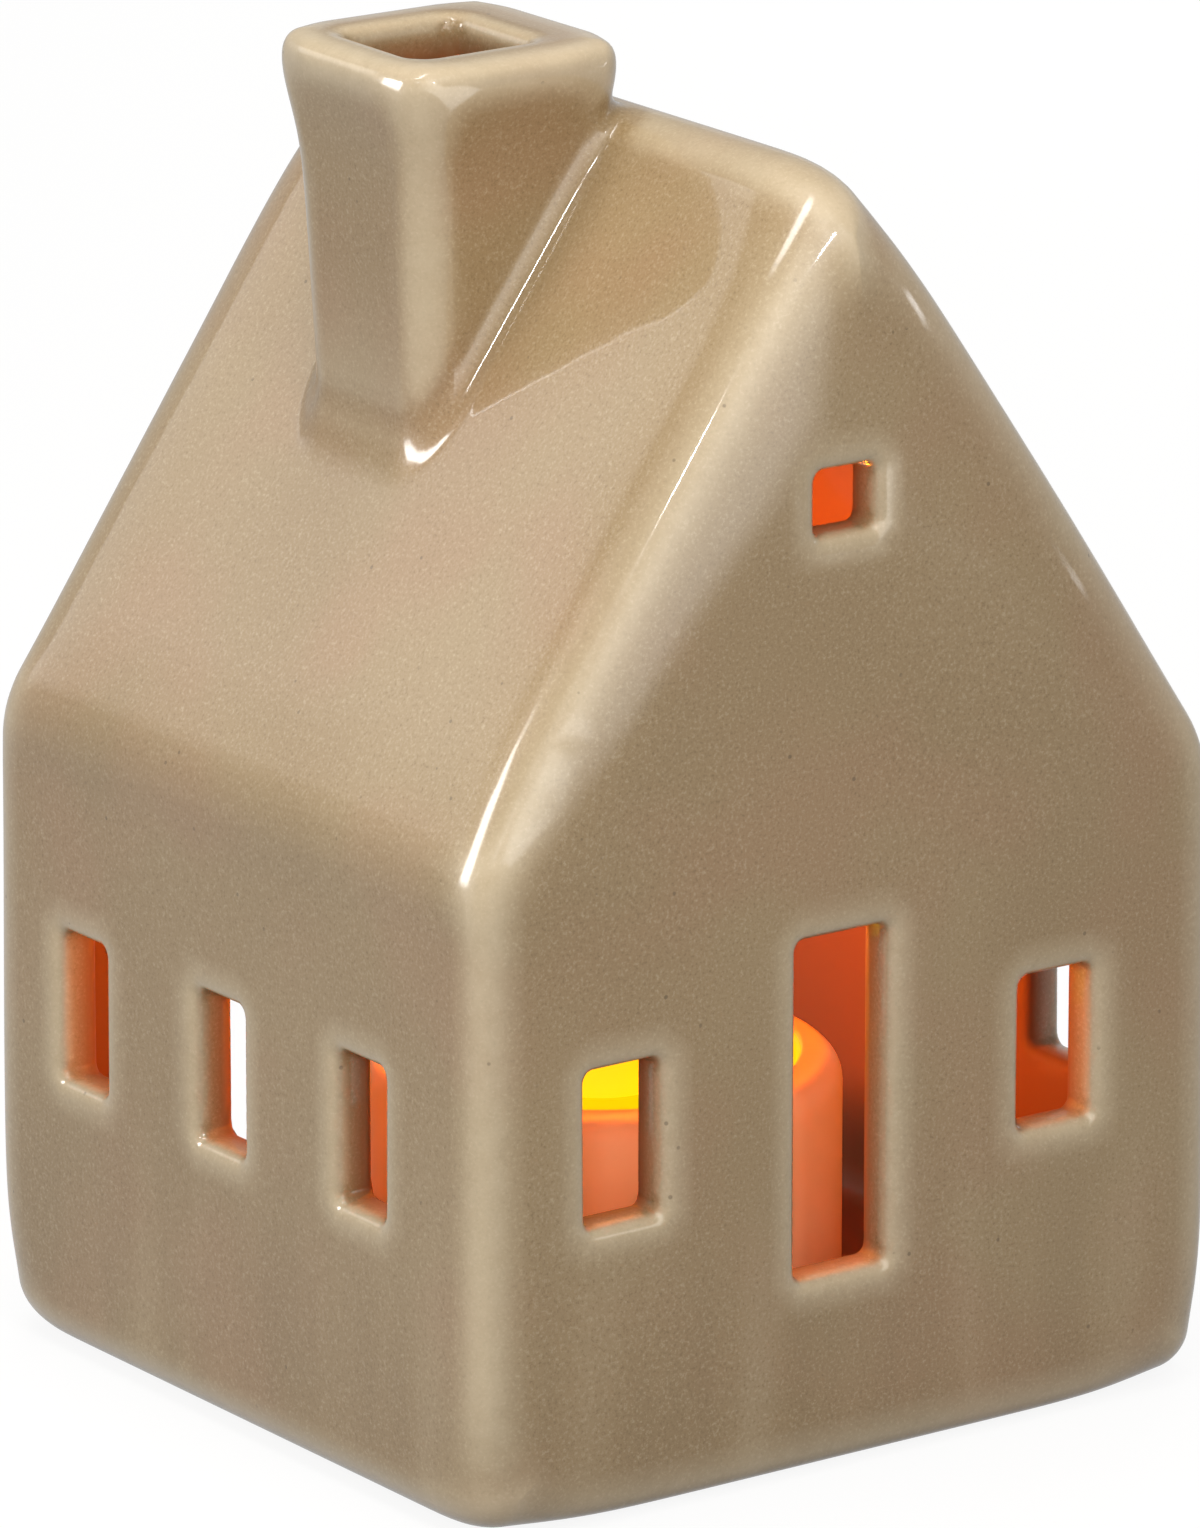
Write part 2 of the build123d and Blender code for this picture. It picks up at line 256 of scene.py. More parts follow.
@dataclass(frozen=True)
class Net:
    """Draws the zero level of a distance as an even triangle mesh.

    One point per mixed grid cell, joined across every grid edge that changes sign; the points then relax towards the
    mean of their neighbours and are put back on the zero level along the gradient.  Edges whose ends point different
    ways are halved, so tight radii get more triangles than flat walls.
    """

    distance: Callable[[Array], Array]
    low: tuple[float, float, float]
    high: tuple[float, float, float]
    step: float
    turn_limit: Callable[[Array], Array]
    relax_rounds: int = 5
    shortest: float = 0.45
    split_rounds: int = 3

    def settle(self, points: Array, rounds: int) -> Array:
        """Put points on the zero level.

        Args:
            points: Points near the surface.
            rounds: Number of steps along the gradient.

        Returns:
            Moved points.
        """
        for _ in range(rounds):
            reach = np.clip(self.distance(points), -self.step, self.step)
            points = points - 0.9 * reach[:, None] * unit_slope(self.distance, points)
        return points

    def draw(self) -> tuple[Array, Array]:
        """Compute the net.

        Returns:
            Points and triangles.
        """
        axes = [np.arange(a, b + self.step, self.step) for a, b in zip(self.low, self.high)]
        shape = tuple(len(axis) for axis in axes)
        grid = np.stack(np.meshgrid(*axes, indexing="ij"), axis=-1).reshape(-1, 3)
        inside = (self.distance(grid) < 0.0).reshape(shape)
        count = sum(
            inside[i : shape[0] - 1 + i, j : shape[1] - 1 + j, k : shape[2] - 1 + k].astype(int)
            for i, j, k in product((0, 1), repeat=3)
        )
        mixed = (count > 0) & (count < 8)
        label = np.full(mixed.shape, -1)
        label[mixed] = np.arange(mixed.sum())
        points = np.array(self.low) + (np.argwhere(mixed) + 0.5) * self.step
        quads = []
        for axis in range(3):
            after = np.roll(np.arange(3), -axis)
            turned, cells = inside.transpose(after), label.transpose(after)
            enter = turned[:-1, 1:-1, 1:-1].astype(int) - turned[1:, 1:-1, 1:-1].astype(int)
            for sign in (1, -1):
                i, j, k = np.nonzero(enter == sign)
                ring = [cells[i, j, k], cells[i, j + 1, k], cells[i, j + 1, k + 1], cells[i, j, k + 1]]
                quads.append(np.stack(ring[::sign], axis=1))
        quads = np.concatenate(quads)
        edges = np.concatenate([quads[:, [n, (n + 1) % 4]] for n in range(4)])
        points = self.settle(points, 4)
        for _ in range(self.relax_rounds):
            total = sum(
                np.stack([np.bincount(edges[:, a], points[edges[:, b], n], len(points)) for n in range(3)], axis=1)
                for a, b in ((0, 1), (1, 0))
            )
            degree = np.bincount(edges.ravel(), minlength=len(points))
            points = self.settle(0.4 * points + 0.6 * total / degree[:, None], 1)
        points = self.settle(points, 2)
        first = np.linalg.norm(points[quads[:, 0]] - points[quads[:, 2]], axis=1)
        second = np.linalg.norm(points[quads[:, 1]] - points[quads[:, 3]], axis=1)
        short = (first <= second)[:, None]
        triangles = np.concatenate([
            np.where(short, quads[:, [0, 1, 2]], quads[:, [1, 2, 3]]),
            np.where(short, quads[:, [0, 2, 3]], quads[:, [1, 3, 0]]),
        ])
        for _ in range(self.split_rounds):
            points, triangles = self.split(points, triangles)
        return points, triangles

    def split(self, points: Array, triangles: Array) -> tuple[Array, Array]:
        """Halve the edges along which the surface turns too far.

        Args:
            points: Mesh points.
            triangles: Mesh triangles.

        Returns:
            Points and triangles after one conforming round.
        """
        normals = unit_slope(self.distance, points)
        corner = np.stack([triangles, np.roll(triangles, -1, axis=1)], axis=2)
        keys, back = np.unique(np.sort(corner.reshape(-1, 2), axis=1), axis=0, return_inverse=True)
        turn = np.sum(normals[keys[:, 0]] * normals[keys[:, 1]], axis=1)
        length = np.linalg.norm(points[keys[:, 0]] - points[keys[:, 1]], axis=1)
        limit = self.turn_limit(points[keys].mean(axis=1))
        chosen = (turn < np.cos(limit)) & (length > self.shortest)
        middle = np.full(len(keys), -1)
        middle[chosen] = len(points) + np.arange(chosen.sum())
        added = self.settle(points[keys[chosen]].mean(axis=1), 3)
        points = np.concatenate([points, added])
        mids = middle[back.reshape(-1, 3)]
        count = (mids >= 0).sum(axis=1)
        result = [triangles[count == 0]]
        for wanted in (1, 2, 3):
            some = count == wanted
            tri, mid = triangles[some], mids[some]
            lead = np.argmax(mid >= 0, axis=1) if wanted == 1 else (np.argmin(mid, axis=1) + 1) % 3
            order = (lead[:, None] + np.arange(3)) % 3
            a, b, c = np.take_along_axis(tri, order, axis=1).T
            m, n, o = np.take_along_axis(mid, order, axis=1).T
            parts = {
                1: [(a, m, c), (m, b, c)],
                2: [(a, m, c), (m, n, c), (m, b, n)],
                3: [(a, m, o), (m, b, n), (o, n, c), (m, n, o)],
            }[wanted]
            result += [np.stack(part, axis=1) for part in parts]
        return points, np.concatenate(result)


def turned_surface(outline: Array, segments: int, wave: Callable[[Array, Array], Array] | None = None) -> Surface:
    """Closed outline of radius and height, turned about the Z axis.

    Args:
        outline: Closed loop of (radius, height) rows; radius 0 rows lie on the axis.
        segments: Steps round the axis.
        wave: Optional change of radius from angle and height.

    Returns:
        Quad surface.
    """
    angle = np.arange(segments) * tau / segments
    radius, height = outline[:, 0][:, None], outline[:, 1][:, None]
    swell = wave(angle[None, :], height) if wave else 1.0
    rows = radius * swell * np.ones((1, segments))
    points = np.stack([rows * np.cos(angle), rows * np.sin(angle), height * np.ones((1, segments))], axis=-1)
    count = len(outline)
    row, col = np.meshgrid(np.arange(count), np.arange(segments), indexing="ij")
    after, side = (row + 1) % count, (col + 1) % segments
    faces = np.stack(
        [row * segments + col, row * segments + side, after * segments + side, after * segments + col], axis=-1
    )
    return Surface(points.reshape(-1, 3), faces.reshape(-1, 4))


def arc(centre: tuple[float, float], radius: float, start: float, end: float, steps: int) -> Array:
    """Points along a circular arc.

    Args:
        centre: Centre of the arc.
        radius: Its radius.
        start: First angle in degrees.
        end: Last angle in degrees.
        steps: Number of points.

    Returns:
        Rows of two coordinates.
    """
    angle = np.radians(np.linspace(start, end, steps))
    return np.stack([centre[0] + radius * np.cos(angle), centre[1] + radius * np.sin(angle)], axis=1)


# ---------------------------------------------------------------- shader helpers


def linear(code: str) -> tuple[float, float, float, float]:
    """Linear colour of an sRGB hex code.

    Args:
        code: Six hex digits after a hash sign.

    Returns:
        Red, green, blue and alpha.
    """
    parts = [int(code[n : n + 2], 16) / 255.0 for n in (1, 3, 5)]
    return (*(p / 12.92 if p <= 0.04045 else ((p + 0.055) / 1.055) ** 2.4 for p in parts), 1.0)


def per_metre(millimetres: float) -> float:
    """Texture scale that gives features of a real size in object coordinates.

    Args:
        millimetres: Feature size.

    Returns:
        Scale for a noise or cell texture.
    """
    return 1.0 / (millimetres * MILLIMETRE)


@dataclass(frozen=True)
class Kind:
    """Shader node as used here: its type, the inputs that are given in order, the output taken and its settings."""

    node: str
    inputs: tuple[int | str, ...] = ()
    output: int | str = 0
    settings: dict[str, str] = field(default_factory=dict)


KINDS = {
    "place": Kind("ShaderNodeTexCoord", (), "Object"),
    "vertex": Kind("ShaderNodeAttribute", (), "Fac"),
    "camera ray": Kind("ShaderNodeLightPath", (), "Is Camera Ray"),
    "glossy ray": Kind("ShaderNodeLightPath", (), "Is Glossy Ray"),
    "clear ray": Kind("ShaderNodeLightPath", (), "Is Transmission Ray"),
    "height": Kind("ShaderNodeSeparateXYZ", (0,), "Z"),
    "stretch": Kind("ShaderNodeMapping", ("Vector", "Scale")),
    "noise": Kind("ShaderNodeTexNoise", ("Vector", "Scale", "Detail", "Roughness", "Distortion")),
    "spots": Kind("ShaderNodeTexVoronoi", ("Vector", "Scale"), "Distance"),
    "span": Kind("ShaderNodeMapRange", (0, 1, 2, 3, 4), 0, {"interpolation_type": "SMOOTHSTEP"}),
    "times": Kind("ShaderNodeMath", (0, 1), 0, {"operation": "MULTIPLY"}),
    "plus": Kind("ShaderNodeMath", (0, 1), 0, {"operation": "ADD"}),
    "larger": Kind("ShaderNodeMath", (0, 1), 0, {"operation": "MAXIMUM"}),
    "blend": Kind("ShaderNodeMix", (0, 6, 7), 2, {"data_type": "RGBA"}),
    "relief": Kind("ShaderNodeBump", ("Height", "Distance", "Normal")),
    "emission": Kind("ShaderNodeEmission", ("Color", "Strength")),
    "background": Kind("ShaderNodeBackground", ("Color", "Strength")),
    "clear": Kind("ShaderNodeBsdfTransparent"),
    "sum": Kind("ShaderNodeAddShader", (0, 1)),
    "either": Kind("ShaderNodeMixShader", (0, 1, 2)),
    "world": Kind("ShaderNodeOutputWorld", ("Surface",)),
}


def feed(tree: bpy.types.NodeTree, node: bpy.types.Node, inputs: dict) -> None:
    """Link or set inputs of a node.

    Args:
        tree: Node tree.
        node: The node.
        inputs: Sockets or plain values by the name or number of the input.
    """
    for key, value in inputs.items():
        if isinstance(value, bpy.types.NodeSocket):
            tree.links.new(value, node.inputs[key])
        else:
            node.inputs[key].default_value = value


def add_node(tree: bpy.types.NodeTree, name: str, *values, **settings) -> bpy.types.NodeSocket | None:
    """Add a node with its settings and inputs.

    Args:
        tree: Node tree.
        name: Kind of node, as listed in KINDS.
        *values: Sockets or plain values for the inputs that KINDS lists, in that order.
        **settings: Settings besides those in KINDS.

    Returns:
        The output that KINDS names, or none for a node without outputs.
    """
    kind = KINDS[name]
    node = tree.nodes.new(kind.node)
    for key, value in (kind.settings | settings).items():
        setattr(node, key, value)
    feed(tree, node, dict(zip(kind.inputs, values)))
    return node.outputs[kind.output] if node.outputs else None


@dataclass
class Recipe:
    """Material under construction: tree, Principled shader and object coordinates."""

    name: str

    def __post_init__(self) -> None:
        """Create the material."""
        self.material = bpy.data.materials.new(self.name)
        self.material.use_nodes = True
        self.tree = self.material.node_tree
        self.shader = next(n for n in self.tree.nodes if n.type == "BSDF_PRINCIPLED")
        self.add = partial(add_node, self.tree)
        self.place = self.add("place")

    def set(self, **inputs) -> bpy.types.Material:
        """Set or link inputs of the Principled shader.

        Args:
            **inputs: Shader inputs, spaces as underscores.

        Returns:
            The material.
        """
        feed(self.tree, self.shader, {name.replace("_", " "): value for name, value in inputs.items()})
        return self.material

    def show(self, shader: bpy.types.NodeSocket) -> bpy.types.Material:
        """Show another shader in place of the Principled one.

        Args:
            shader: Output of the shader.

        Returns:
            The material.
        """
        out = next(node for node in self.tree.nodes if node.type == "OUTPUT_MATERIAL")
        self.tree.links.new(shader, out.inputs["Surface"])
        return self.material


# ---------------------------------------------------------------- finishes


@dataclass(frozen=True)
class GlazeFinish:
    """Glossy taupe stoneware glaze, dipped and fired: thin and cream over edges, thick and darker in hollows."""

    body: str = "#99805b"
    warm: str = "#a07f5d"
    pale: str = "#a08863"
    cream: str = "#d8c7a9"
    pooled: str = "#7c6441"
    speck: str = "#4f3f2c"
    inner: str = "#8a5732"

    def material(self) -> bpy.types.Material:
        """Build the glaze.

        Returns:
            The material.
        """
        mix = Recipe("Stoneware glaze, dipped and fired glossy")
        add, at = mix.add, mix.place
        # Wet-looking and mottled: clouds of 24 and 13 mm from the dip, iron grain of 0.3 mm, runs of 8 mm drawn out
        # eightfold downwards, a ragged thin edge of 1.6 mm and single specks about every 2.4 mm
        grain = add("noise", at, per_metre(0.3), 2.0, 0.7)
        drips = add("noise", add("stretch", at, (1.0, 1.0, 0.12)), per_metre(8.0))
        low = add("span", add("height", at), 0.034, 0.008)
        ragged = add("span", add("noise", at, per_metre(1.6), 3.0, 0.6), 0.25, 0.75, 0.85, 1.05)
        dots = add("span", add("spots", at, per_metre(2.4)), 0.09, 0.05)
        dots = add("times", dots, add("span", add("noise", at, per_metre(5.0)), 0.54, 0.62))
        inside = add("vertex", attribute_name="inside")
        layers = (
            (add("span", add("noise", at, per_metre(24.0), 1.0, 0.4, 0.3), 0.3, 0.7), self.pale),
            (add("span", add("noise", at, per_metre(13.0), 1.0, 0.4), 0.4, 0.75, 0.0, 0.6), self.warm),
            (add("times", add("span", drips, 0.4, 0.7, 0.0, 0.3), low), self.pooled),
            (add("times", add("span", drips, 0.5, 0.25, 0.0, 0.14), low), self.cream),
            (add("span", grain, 0.5, 0.78, 0.0, 0.3), self.cream),
            (add("span", grain, 0.48, 0.22, 0.0, 0.6), self.pooled),
            (add("times", add("vertex", attribute_name="thin"), ragged), self.cream),
            (add("vertex", attribute_name="pooled"), self.pooled),
            (add("times", dots, 0.5), self.speck),
            (inside, self.inner),
        )
        colour = linear(self.body)
        for share, tone in layers:
            colour = add("blend", share, colour, linear(tone))
        # The glassy coat follows only the slow ripple of 7 mm, so highlights bend softly; the body also has the peel
        ripple = add("relief", add("noise", at, per_metre(7.0), 1.0), 0.03 * MILLIMETRE)
        return mix.set(
            Base_Color=colour, Roughness=add("span", inside, 0.0, 1.0, 0.3, 0.6), Specular_IOR_Level=0.3,
            Normal=add("relief", add("noise", at, per_metre(0.9)), 0.004 * MILLIMETRE, ripple), Coat_Normal=ripple,
            Coat_Weight=add("span", inside, 0.0, 1.0, 1.0, 0.08), Coat_Roughness=0.06, Coat_IOR=1.5,
        )


@dataclass(frozen=True)
class ClayFinish:
    """Bare fired stoneware of the foot, wiped free of glaze and ground level."""

    body: str = "#b79f80"
    dark: str = "#8d7557"

    def material(self) -> bpy.types.Material:
        """Build the bare clay.

        Returns:
            The material.
        """
        mix = Recipe("Bare stoneware, wiped and ground")
        add, at = mix.add, mix.place
        # Dry and sandy, no highlight: tones of 0.8 mm over grit of 0.5 mm
        share = add("span", add("noise", at, per_metre(0.8), 4.0, 0.7), 0.35, 0.7)
        return mix.set(
            Base_Color=add("blend", share, linear(self.body), linear(self.dark)), Roughness=0.85,
            Normal=add("relief", add("noise", at, per_metre(0.5), 3.0), 0.03 * MILLIMETRE),
        )


@dataclass(frozen=True)
class GlowFinish:
    """Moulded plastic with a glow: the diode's own light in the flame, painted flame light on the candle body and dish.
    """

    name: str
    body: str
    low: str
    high: str
    low_height: float
    high_height: float
    strength: float

    def material(self) -> bpy.types.Material:
        """Build the glowing plastic; the glow rises with height above the floor (painted light on the candle body and
        dish).

        Returns:
            The material.
        """
        mix = Recipe(self.name)
        add, at = mix.add, mix.place
        rise = add("span", add("height", at), self.low_height * MILLIMETRE, self.high_height * MILLIMETRE)
        cloud = add("span", add("noise", at, per_metre(7.0)), 0.3, 0.7, 0.0, 0.35)
        glow = add("plus", rise, add("times", cloud, 0.2))
        return mix.set(
            Base_Color=add("blend", add("times", cloud, 0.25), linear(self.body), linear(self.high)), Roughness=0.45,
            Emission_Color=add("blend", glow, linear(self.low), linear(self.high)), Emission_Strength=self.strength,
            Normal=add("relief", add("noise", at, per_metre(1.2)), 0.01 * MILLIMETRE),
        )


@dataclass(frozen=True)
class PlainFinish:
    """Everyday manufactured surface: a body colour, a second tone in fine grain and a little relief.

    The grain is a size in millimetres.  On real plastic, plating and laminate it is finer than that, too fine to show,
    so it is drawn as coarse as a close view needs.
    """

    name: str
    body: str
    tone: str
    grain: float
    roughness: float
    metallic: float = 0.0
    relief: float = 0.01
    clear: float = 0.0

    def material(self) -> bpy.types.Material:
        """Build the material.

        Returns:
            The material.
        """
        mix = Recipe(self.name)
        add, at = mix.add, mix.place
        share = add("span", add("noise", at, per_metre(self.grain), 3.0, 0.6), 0.35, 0.7)
        worn = add("noise", at, per_metre(self.grain * 3.0))
        return mix.set(
            Base_Color=add("blend", share, linear(self.body), linear(self.tone)),
            Roughness=add("span", worn, 0.3, 0.7, self.roughness * 0.85, self.roughness * 1.15),
            Metallic=self.metallic, Transmission_Weight=self.clear,
            Normal=add("relief", add("noise", at, per_metre(self.grain)), self.relief * MILLIMETRE),
        )


# ---------------------------------------------------------------- house


@dataclass(frozen=True)
class Opening:
    """Rectangular opening with round corners through one wall."""

    wall: Face
    centre: float
    sill: float
    width: float
    height: float
    corner: float = 0.75


@dataclass
class StonewareHouse:
    """Hollow glazed house with a flared chimney and rolled openings; sizes in millimetres."""

    width: float = 70.0
    depth: float = 67.4
    eave: float = 51.7
    ridge: float = 104.4
    eave_radius: float = 10.2
    edge_radius: float = 3.8
    edge_wear: float = 5.0
    roof_rise: float = 0.8
    droop: float = 1.0
    droop_reach: float = 10.5
    pillow: float = 0.9
    pillow_reach: float = 9.0
    rear_wear: float = 2.2
    apex_wear: float = 15.0
    corner_wear: float = 10.5
    wall: float = 3.8
    floor: float = 4.4
    chimney: tuple[float, float] = (-11.4, 3.8)
    chimney_foot: float = 68.4
    chimney_neck: float = 100.1
    chimney_top: float = 107.2
    chimney_sizes: tuple[float, float, float] = (15.9, 18.3, 22.7)
    chimney_radius: float = 3.4
    flare_reach: float = 1.9
    chimney_root: float = 2.0
    rim_wear: float = 4.6
    rim_corner_wear: float = 5.0
    flue: tuple[float, float] = (-12.6, 3.8)
    flue_size: float = 10.6
    lip: float = 2.3
    inner_lip: float = 0.8
    wave: float = 0.16
    step: float = 1.4
    turn_outside: float = 0.14
    turn_inside: float = 0.4
    openings: tuple[Opening, ...] = (
        Opening(Face.FRONT, -21.7, 23.8, 6.8, 12.2),
        Opening(Face.FRONT, 19.3, 23.8, 6.8, 12.2),
        Opening(Face.FRONT, -1.2, 15.8, 8.5, 26.9),
        Opening(Face.FRONT, -1.2, 74.3, 5.5, 4.9),
        *(Opening(wall, y, 22.7, 6.1, 12.0) for wall in (Face.LEFT, Face.RIGHT) for y in (-17.2, 1.75, 20.7)),
    )
    rear: Opening = Opening(Face.REAR, 0.0, 4.4, 42.6, 38.4, 6.0)

    def prism(self, points: Array, inset: float, base: float, radii: tuple[float, float, float]) -> Array:
        """Plane distance to the house outline across its width.

        Args:
            points: Points.
            inset: Distance of walls and roof from the outer faces.
            base: Height of the lowest face.
            radii: Foot, eave and ridge radius.

        Returns:
            Distance.
        """
        half = self.width / 2
        slope = (self.ridge - self.eave) / half
        drop = inset * np.hypot(1.0, slope)
        reach, top = half - inset, self.ridge - drop
        knee = top - slope * reach
        corners = ((-reach, base), (reach, base), (reach, knee), (0.0, top), (-reach, knee))
        foot, eave, crest = radii
        return rounded_outline(points[:, 0], points[:, 2], corners, (foot, foot, eave, crest, eave))

    def outside(self, points: Array) -> Array:
        """Distance to the full outer form: house, chimney and the slow waviness of the hand-cast wall.

        Args:
            points: Points.

        Returns:
            Distance.
        """
        x, y, z = points.T
        ends = np.abs(y) - self.depth / 2
        apex = np.exp(-((x / 9.0) ** 2) - ((z - self.ridge) / 10.0) ** 2)
        feet = np.exp(-(((np.abs(x) - self.width / 2) / 8.0) ** 2) - (z / 7.0) ** 2)
        wear = self.edge_wear + (self.apex_wear - self.edge_wear) * apex
        wear = wear + (self.corner_wear - self.edge_wear) * feet + self.rear_wear * soft_step(58.0, 82.0, z) * (y > 0)
        body = self.prism(points, 0.0, 0.0, (self.edge_radius, self.eave_radius, self.edge_radius + 0.4))
        high = soft_step(self.eave - 6.0, self.eave + 10.0, z)
        droop = np.clip(1.0 + ends / self.droop_reach, 0.0, 1.3) ** 2
        sunk = np.clip(1.0 + body / self.pillow_reach, 0.0, 1.3) ** 2
        rise = self.roof_rise * (1.0 - 0.5 * soft_step(70.0, 100.0, z))
        body = body + high * (self.droop * droop - rise)
        body = worn_meet(body, ends + high * self.pillow * sunk, wear)
        foot, neck, rim = (size / 2 for size in self.chimney_sizes)
        lean = (neck - foot) / (self.chimney_neck - self.chimney_foot)
        flare = (rim - neck) / (self.chimney_top - self.chimney_neck)
        above = z - self.chimney_neck
        spread = self.flare_reach * np.logaddexp(0.0, above / self.flare_reach)
        half = neck + lean * above + (flare - lean) * spread
        half = np.minimum(half, rim)
        east, north = x - self.chimney[0], y - self.chimney[1]
        plan = rounded_rectangle(east, north, half, half, self.chimney_radius)
        corner = soft_step(0.35, 0.95, np.abs(east * north) / half**2)
        shaft = worn_meet(0.97 * plan, z - self.chimney_top, self.rim_wear + self.rim_corner_wear * corner)
        shaft = np.maximum(shaft, self.chimney_foot - 4.0 - z)
        form = rounded_join(body, shaft, self.chimney_root)
        ripple = np.sin(x / 9.7 + 0.6 * np.sin(z / 15.0) + 0.8) * np.sin(z / 12.3 - 0.5 * np.sin(y / 11.0) + 0.4)
        ripple = ripple + 0.7 * np.sin(y / 8.9 + 1.7) * np.sin(z / 14.1 + x / 21.0 + 2.0)
        return form + self.wave * soft_step(1.0, 9.0, z) * (0.5 + 0.5 * ripple)

    def cut(self, points: Array, opening: Opening) -> Array:
        """Distance to the block that an opening takes out of its wall.

        Args:
            points: Points.
            opening: The opening.

        Returns:
            Distance.
        """
        x, y, z = points.T
        along, across, face = {
            Face.FRONT: (x, y, -self.depth / 2),
            Face.REAR: (x, y, self.depth / 2),
            Face.LEFT: (y, x, -self.width / 2),
            Face.RIGHT: (y, x, self.width / 2),
        }[opening.wall]
        half = opening.height / 2
        hole = rounded_rectangle(
            along - opening.centre, z - opening.sill - half, opening.width / 2, half, opening.corner
        )
        return np.maximum(hole, np.abs(across - face) - 2.0 * self.wall)

    def hollow(self, points: Array) -> Array:
        """Distance to all that is empty inside: room, rear opening, flue and openings.

        Args:
            points: Points.

        Returns:
            Distance.
        """
        x, y, z = points.T
        room = self.prism(points, self.wall, self.floor, (2.0, self.eave_radius - self.wall, 3.0))
        room = rounded_meet(room, np.abs(y) - self.depth / 2 + self.wall, 2.0)
        gate = self.rear
        low = rounded_rectangle(x, z - gate.sill - gate.height / 2, gate.width / 2, gate.height / 2, gate.corner)
        low = np.where(z < gate.sill + gate.height / 2, np.maximum(np.abs(x) - gate.width / 2, gate.sill - z), low)
        room = np.minimum(room, np.maximum(low, np.abs(y - self.depth / 2) - self.wall - 1.0))
        stack = rounded_rectangle(x - self.flue[0], y - self.flue[1], self.flue_size / 2, self.flue_size / 2, 1.3)
        room = rounded_join(room, np.maximum(stack, self.chimney_foot - z), self.inner_lip)
        holes = np.min([self.cut(points, opening) for opening in self.openings], axis=0)
        return rounded_join(room, holes, self.inner_lip)

    def distance(self, points: Array) -> Array:
        """Distance to the stoneware, negative inside the wall.

        Args:
            points: Points.

        Returns:
            Distance.
        """
        return worn_meet(self.outside(points), -self.hollow(points), self.lip)

    @staticmethod
    def bend(distance: Callable[[Array], Array], points: Array, reach: float) -> Array:
        """Curvature seen over a reach: the mean distance of six points round each point, over the reach squared.

        Args:
            distance: Distance whose levels are followed.
            points: Points on the surface.
            reach: Distance of the six points.

        Returns:
            Curvature, positive over edges and negative in hollows.
        """
        total = -6.0 * distance(points)
        for shift in np.eye(3) * reach:
            total += distance(points + shift) + distance(points - shift)
        return total / reach**2

    def build(self) -> bpy.types.Object:
        """Draw the surface and keep where glaze runs thin or pools.

        Returns:
            The house piece.
        """
        margin = 2.0
        half_x, half_y = self.width / 2 + margin, self.depth / 2 + margin
        net = Net(
            self.distance,
            (-half_x, -half_y, -margin),
            (half_x, half_y, self.chimney_top + margin),
            self.step,
            lambda places: np.where(self.outside(places) > -1.5, self.turn_outside, self.turn_inside),
        )
        points, triangles = net.draw()
        normals = unit_slope(self.distance, points)
        wide, near = self.bend(self.outside, points, 2.4), self.bend(self.distance, points, 0.9)
        wide = wide * soft_step(-1.6, -0.8, self.outside(points))
        raised = soft_step(0.2, 2.0, points[:, 2])
        holes = np.min([self.cut(points, opening) for opening in self.openings], axis=0)
        halo = (1.0 - soft_step(0.2, 3.4, holes)) * soft_step(-1.3, -0.2, self.outside(points))
        worn, lips = 0.62 * soft_step(0.04, 0.36, wide), 0.45 * soft_step(0.2, 0.6, near)
        thin = np.max([worn, 0.55 * halo, lips], axis=0) * raised
        pooled = 0.3 * soft_step(0.1, 0.7, -near)
        inside = soft_step(1.4, 3.2, -self.outside(points))
        surface = Surface(points, triangles, normals, {"thin": thin, "pooled": pooled, "inside": inside})
        piece = surface.make("glazed_house")
        level = points[triangles][:, :, 2].max(axis=1) < 0.12
        piece.data.polygons.foreach_set("material_index", np.where(level, Slot.CLAY.value, Slot.GLAZE.value))
        return piece

    def dress(self, piece: bpy.types.Object) -> None:
        """Give the piece its glaze and its bare foot and tie it to the node it replaces.

        Args:
            piece: The house piece.
        """
        piece.data.materials.append(GlazeFinish().material())
        piece.data.materials.append(ClayFinish().material())
        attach(piece, "house")
        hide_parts("house_shell")


# ---------------------------------------------------------------- tealight


